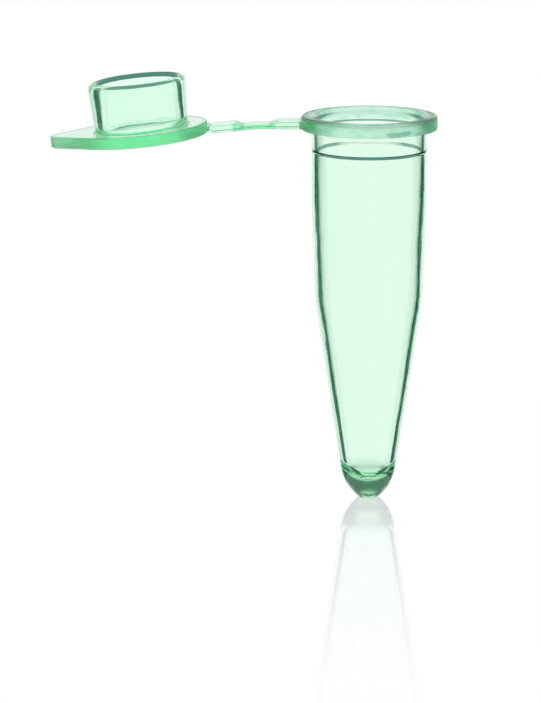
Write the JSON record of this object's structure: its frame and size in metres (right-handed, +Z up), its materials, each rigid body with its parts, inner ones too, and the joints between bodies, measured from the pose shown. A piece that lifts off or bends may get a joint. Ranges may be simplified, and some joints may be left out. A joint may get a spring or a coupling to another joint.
{
  "type": "microcentrifuge tube",
  "caption": "Clear mint microcentrifuge tube with a flanged mouth, a conical lower half and a rounded tip, and a plug lid with a thumb tab that snaps shut on a living hinge.",
  "frame": {"origin": "on the tube's axis, in the plane of the flange's underside, where the tube seats in a rack", "axes": "+Z up along the tube's axis, out of the mouth; the lid's strap leaves towards -X; +Y completes a right-handed frame"},
  "size_m": [0.0364, 0.0128, 0.0408],
  "materials": {
    "clear_mint_wall": "clear, glossy, faintly mint polypropylene",
    "mint_flange": "translucent mint polypropylene, satin where it is thick",
    "mint_lid": "translucent mint polypropylene, glossy"
  },
  "bodies": {
    "tube": {"mouth_flange": "mint_flange", "mouth_collar": "clear_mint_wall", "barrel": "clear_mint_wall", "cone": "clear_mint_wall", "tip": "clear_mint_wall", "strap_root": "mint_flange", "hinge_web": "mint_flange"},
    "lid": {"strap_lid_end": "mint_flange", "lid_disc": "mint_lid", "thumb_tab": "mint_lid", "plug_skirt": "mint_lid", "sealing_bead": "mint_lid"}
  },
  "joints": [
    {"name": "lid_hinge", "type": "hinge", "parent": "tube", "child": "lid", "pos_m": [-0.01072, 0, 0.0013], "axis": [0, 1, 0], "range_deg": [-25, 185.8], "deforming": ["hinge_web"]}
  ]
}
